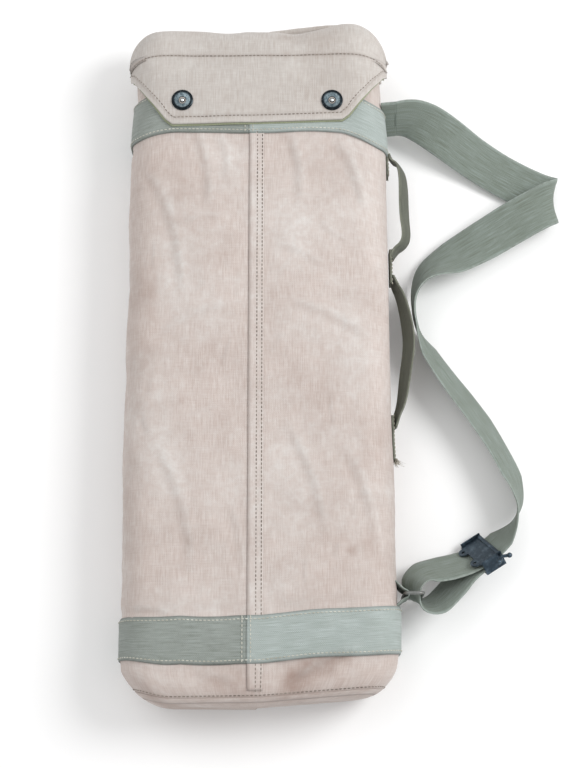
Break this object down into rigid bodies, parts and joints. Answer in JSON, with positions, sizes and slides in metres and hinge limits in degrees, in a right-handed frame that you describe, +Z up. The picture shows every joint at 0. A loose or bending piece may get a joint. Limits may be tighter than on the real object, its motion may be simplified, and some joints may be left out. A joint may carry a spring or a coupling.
{
  "type": "canvas carrying bag",
  "caption": "Long flat canvas carrying bag with a wrap-over snap flap, long compartments, webbing bands, a side carrying handle and an adjustable shoulder strap.",
  "frame": {"origin": "on the back face that the bag rests on, at the middle of its width", "axes": "+Z up out of the bag's front, +Y along the bag towards the flap, +X across the bag towards the shoulder strap"},
  "size_m": [0.4067, 0.6179, 0.0835],
  "materials": {
    "canvas": "matt, worn cotton duck",
    "band_webbing": "matt, faded cotton webbing",
    "strap_webbing": "matt cotton webbing",
    "handle_webbing": "matt cotton webbing",
    "black_oxide": "satin black oxide",
    "bare_steel": "worn bright"
  },
  "bodies": {
    "bag": {"body_panel_left": "canvas", "body_panel_right": "canvas", "bottom_panel": "canvas", "divider_left": "canvas", "divider_right": "canvas", "upper_band_left": "band_webbing", "upper_band_right": "band_webbing", "lower_band_left": "band_webbing", "lower_band_right": "band_webbing", "snap_stud_left": "black_oxide", "snap_stud_right": "black_oxide", "stud_washer_left": "black_oxide", "stud_washer_right": "black_oxide", "handle_tack_top": "handle_webbing", "handle_tack_middle": "handle_webbing", "handle_tail": "handle_webbing", "strap_anchor": "strap_webbing", "shoulder_strap": "strap_webbing", "ring_keeper": "strap_webbing", "buckle_frame": "black_oxide", "buckle_pin": "black_oxide"},
    "flap_back": {"flap_rear": "canvas"},
    "flap_top": {"flap_crown": "canvas"},
    "flap_front": {"flap_lap": "canvas", "flap_facing": "canvas", "snap_cap_left": "black_oxide", "snap_cap_right": "black_oxide", "snap_socket_left": "bare_steel", "snap_socket_right": "bare_steel"},
    "upper_loop": {"handle_loop_upper": "handle_webbing"},
    "lower_loop": {"handle_loop_lower": "handle_webbing"},
    "ring": {"strap_ring": "black_oxide"},
    "gripper": {"buckle_gripper": "black_oxide"}
  },
  "joints": [
    {"name": "flap_seam_turn", "type": "hinge", "parent": "bag", "child": "flap_back", "pos_m": [0, 0.3, 0.0015], "axis": [-1, 0, 0], "range_deg": [0, 50]},
    {"name": "flap_crown_fold", "type": "hinge", "parent": "flap_back", "child": "flap_top", "pos_m": [0, 0.332, 0.042], "axis": [-1, 0, 0], "range_deg": [0, 80]},
    {"name": "flap_lap_lift", "type": "hinge", "parent": "flap_top", "child": "flap_front", "pos_m": [0, 0.299, 0.0803], "axis": [-1, 0, 0], "range_deg": [0, 48]},
    {"name": "upper_loop_swing", "type": "hinge", "parent": "bag", "child": "upper_loop", "pos_m": [0.121, 0.17, 0.038], "axis": [0, 1, 0], "range_deg": [-18, 18]},
    {"name": "lower_loop_swing", "type": "hinge", "parent": "bag", "child": "lower_loop", "pos_m": [0.121, 0.03, 0.038], "axis": [0, 1, 0], "range_deg": [-18, 18]},
    {"name": "ring_swing", "type": "hinge", "parent": "bag", "child": "ring", "pos_m": [0.1295, -0.19, 0.0385], "axis": [0, 0, 1], "range_deg": [-10, 10]},
    {"name": "gripper_lift", "type": "hinge", "parent": "bag", "child": "gripper", "pos_m": [0.19898, -0.13312, 0.00661], "axis": [-0.3237, 0.4695, -0.8215], "range_deg": [0, 60]}
  ],
  "couplings": [
    {"joint": "flap_crown_fold", "follows": "flap_seam_turn", "ratio": 1.6}
  ]
}
